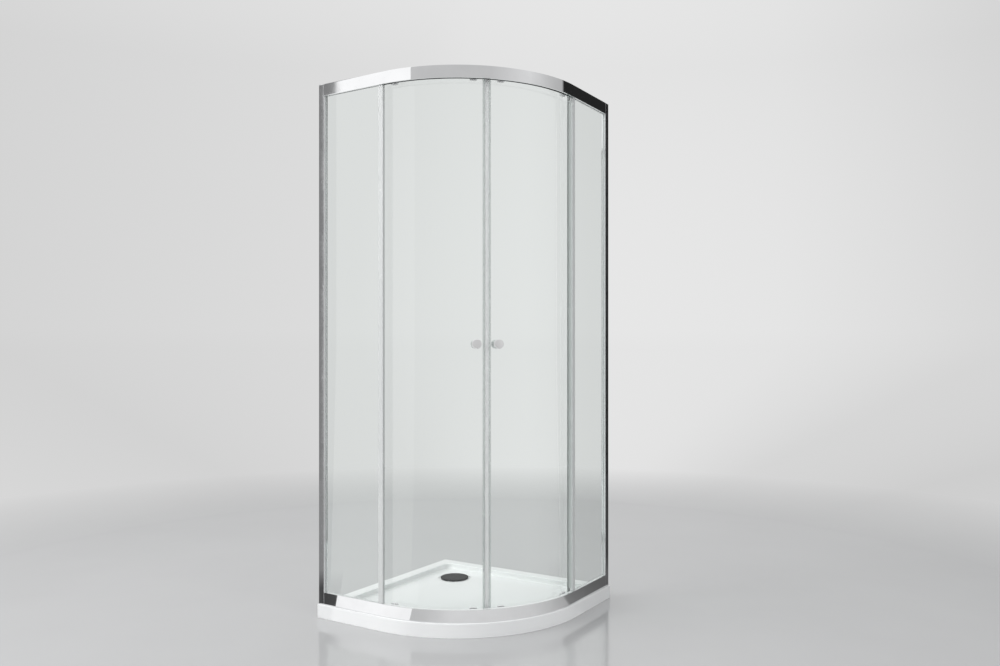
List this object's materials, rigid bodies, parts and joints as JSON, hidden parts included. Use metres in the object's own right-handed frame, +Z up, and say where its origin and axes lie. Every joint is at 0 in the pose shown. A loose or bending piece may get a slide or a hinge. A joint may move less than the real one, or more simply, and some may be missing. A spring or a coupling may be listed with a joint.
{
  "type": "quadrant shower enclosure",
  "caption": "Quadrant shower enclosure on a low tray: fixed glass side panels and curved sliding glass doors on rollers between bent chrome rails.",
  "frame": {"origin": "floor level under the centre of the tray's square", "axes": "+Z up; the wall corner is at -X, +Y; the straight sides face -Y and +X and the quarter arc lies between them"},
  "size_m": [0.8, 0.8, 1.95],
  "materials": {
    "tray_acrylic": "smooth white gloss",
    "base_board": "pressed chipboard",
    "pad_rubber": "matt black",
    "waste_steel": "satin",
    "waste_plastic": "moulded",
    "cover_black": "polished black",
    "rail_chrome": "bright polished",
    "wall_profile_chrome": "bright polished",
    "bracket_zinc": "zinc casting",
    "bracket_chrome": "polished",
    "screw_steel": "stainless",
    "cap_plastic": "moulded grey",
    "roller_cap_chrome": "polished",
    "clear_glass": "clear safety glass",
    "gasket_grey": "soft grey",
    "seal_strip": "translucent soft plastic",
    "magnet_seal_clear": "translucent soft plastic",
    "magnet_dark": "magnet rubber",
    "knob_chrome": "bright polished",
    "washer_clear": "clear",
    "wheel_nylon": "white nylon"
  },
  "bodies": {
    "enclosure": {"shower_tray": "tray_acrylic", "tray_base_board": "base_board", "tray_levelling_pads": "pad_rubber", "waste_flange": "waste_steel", "waste_sealing_ring": "pad_rubber", "waste_cup": "waste_plastic", "waste_strainer": "waste_plastic", "top_rail": "rail_chrome", "bottom_rail": "rail_chrome", "rail_end_brackets": "bracket_zinc", "rail_end_screws": "screw_steel", "door_stops": "pad_rubber", "profile_caps": "cap_plastic", "profile_lock_screws": "screw_steel", "left_wall_profile": "wall_profile_chrome", "left_frame_profile": "rail_chrome", "left_fixed_glass": "clear_glass", "left_glazing_gaskets": "gasket_grey", "left_edge_strip": "seal_strip", "right_wall_profile": "wall_profile_chrome", "right_frame_profile": "rail_chrome", "right_fixed_glass": "clear_glass", "right_glazing_gaskets": "gasket_grey", "right_edge_strip": "seal_strip"},
    "drain_cover": {"drain_cover": "cover_black"},
    "left_door": {"left_door_glass": "clear_glass", "left_magnet_seal": "magnet_seal_clear", "left_magnet_strip": "magnet_dark", "left_trailing_seal": "seal_strip", "left_outer_knob": "knob_chrome", "left_inner_knob": "knob_chrome", "left_knob_stud": "screw_steel", "left_knob_washers": "washer_clear", "left_roller_axles": "screw_steel", "left_roller_caps": "roller_cap_chrome", "left_upper_roller_brackets": "bracket_chrome", "left_lower_roller_brackets": "bracket_chrome"},
    "left_upper_leading_wheel": {"left_upper_leading_wheel": "wheel_nylon"},
    "left_upper_trailing_wheel": {"left_upper_trailing_wheel": "wheel_nylon"},
    "left_lower_leading_wheel": {"left_lower_leading_wheel": "wheel_nylon"},
    "left_lower_trailing_wheel": {"left_lower_trailing_wheel": "wheel_nylon"},
    "right_door": {"right_door_glass": "clear_glass", "right_magnet_seal": "magnet_seal_clear", "right_magnet_strip": "magnet_dark", "right_trailing_seal": "seal_strip", "right_outer_knob": "knob_chrome", "right_inner_knob": "knob_chrome", "right_knob_stud": "screw_steel", "right_knob_washers": "washer_clear", "right_roller_axles": "screw_steel", "right_roller_caps": "roller_cap_chrome", "right_upper_roller_brackets": "bracket_chrome", "right_lower_roller_brackets": "bracket_chrome"},
    "right_upper_leading_wheel": {"right_upper_leading_wheel": "wheel_nylon"},
    "right_upper_trailing_wheel": {"right_upper_trailing_wheel": "wheel_nylon"},
    "right_lower_leading_wheel": {"right_lower_leading_wheel": "wheel_nylon"},
    "right_lower_trailing_wheel": {"right_lower_trailing_wheel": "wheel_nylon"}
  },
  "joints": [
    {"name": "drain_cover_lift", "type": "slide", "parent": "enclosure", "child": "drain_cover", "axis": [0, 0, 1], "range_m": [0, 0.03]},
    {"name": "left_door_travel", "type": "hinge", "parent": "enclosure", "child": "left_door", "pos_m": [-0.155, 0.221, 0], "axis": [0, 0, -1], "range_deg": [0, 19.3]},
    {"name": "left_upper_leading_wheel_roll", "type": "hinge", "parent": "left_door", "child": "left_upper_leading_wheel", "pos_m": [0.20144, -0.27225, 1.93], "axis": [0.6293, -0.7771, 0], "range_deg": [0, 1010]},
    {"name": "left_upper_trailing_wheel_roll", "type": "hinge", "parent": "left_door", "child": "left_upper_trailing_wheel", "pos_m": [-0.07076, -0.37811, 1.93], "axis": [0.061, -0.9981, 0], "range_deg": [0, 1010]},
    {"name": "left_lower_leading_wheel_roll", "type": "hinge", "parent": "left_door", "child": "left_lower_leading_wheel", "pos_m": [0.20144, -0.27225, 0.07], "axis": [-0.6293, 0.7771, 0], "range_deg": [0, 1010]},
    {"name": "left_lower_trailing_wheel_roll", "type": "hinge", "parent": "left_door", "child": "left_lower_trailing_wheel", "pos_m": [-0.07076, -0.37811, 0.07], "axis": [-0.061, 0.9981, 0], "range_deg": [0, 1010]},
    {"name": "right_door_travel", "type": "hinge", "parent": "enclosure", "child": "right_door", "pos_m": [-0.221, 0.155, 0], "axis": [0, 0, 1], "range_deg": [0, 19.3]},
    {"name": "right_upper_leading_wheel_roll", "type": "hinge", "parent": "right_door", "child": "right_upper_leading_wheel", "pos_m": [0.27225, -0.20144, 1.93], "axis": [-0.7771, 0.6293, 0], "range_deg": [0, 1010]},
    {"name": "right_upper_trailing_wheel_roll", "type": "hinge", "parent": "right_door", "child": "right_upper_trailing_wheel", "pos_m": [0.37811, 0.07076, 1.93], "axis": [-0.9981, 0.061, 0], "range_deg": [0, 1010]},
    {"name": "right_lower_leading_wheel_roll", "type": "hinge", "parent": "right_door", "child": "right_lower_leading_wheel", "pos_m": [0.27225, -0.20144, 0.07], "axis": [0.7771, -0.6293, 0], "range_deg": [0, 1010]},
    {"name": "right_lower_trailing_wheel_roll", "type": "hinge", "parent": "right_door", "child": "right_lower_trailing_wheel", "pos_m": [0.37811, 0.07076, 0.07], "axis": [0.9981, -0.061, 0], "range_deg": [0, 1010]}
  ],
  "couplings": [
    {"joint": "left_upper_leading_wheel_roll", "follows": "left_door_travel", "ratio": 52.014},
    {"joint": "left_upper_trailing_wheel_roll", "follows": "left_door_travel", "ratio": 51.709},
    {"joint": "left_lower_leading_wheel_roll", "follows": "left_door_travel", "ratio": 52.014},
    {"joint": "left_lower_trailing_wheel_roll", "follows": "left_door_travel", "ratio": 51.709},
    {"joint": "right_upper_leading_wheel_roll", "follows": "right_door_travel", "ratio": 52.014},
    {"joint": "right_upper_trailing_wheel_roll", "follows": "right_door_travel", "ratio": 51.709},
    {"joint": "right_lower_leading_wheel_roll", "follows": "right_door_travel", "ratio": 52.014},
    {"joint": "right_lower_trailing_wheel_roll", "follows": "right_door_travel", "ratio": 51.709}
  ]
}
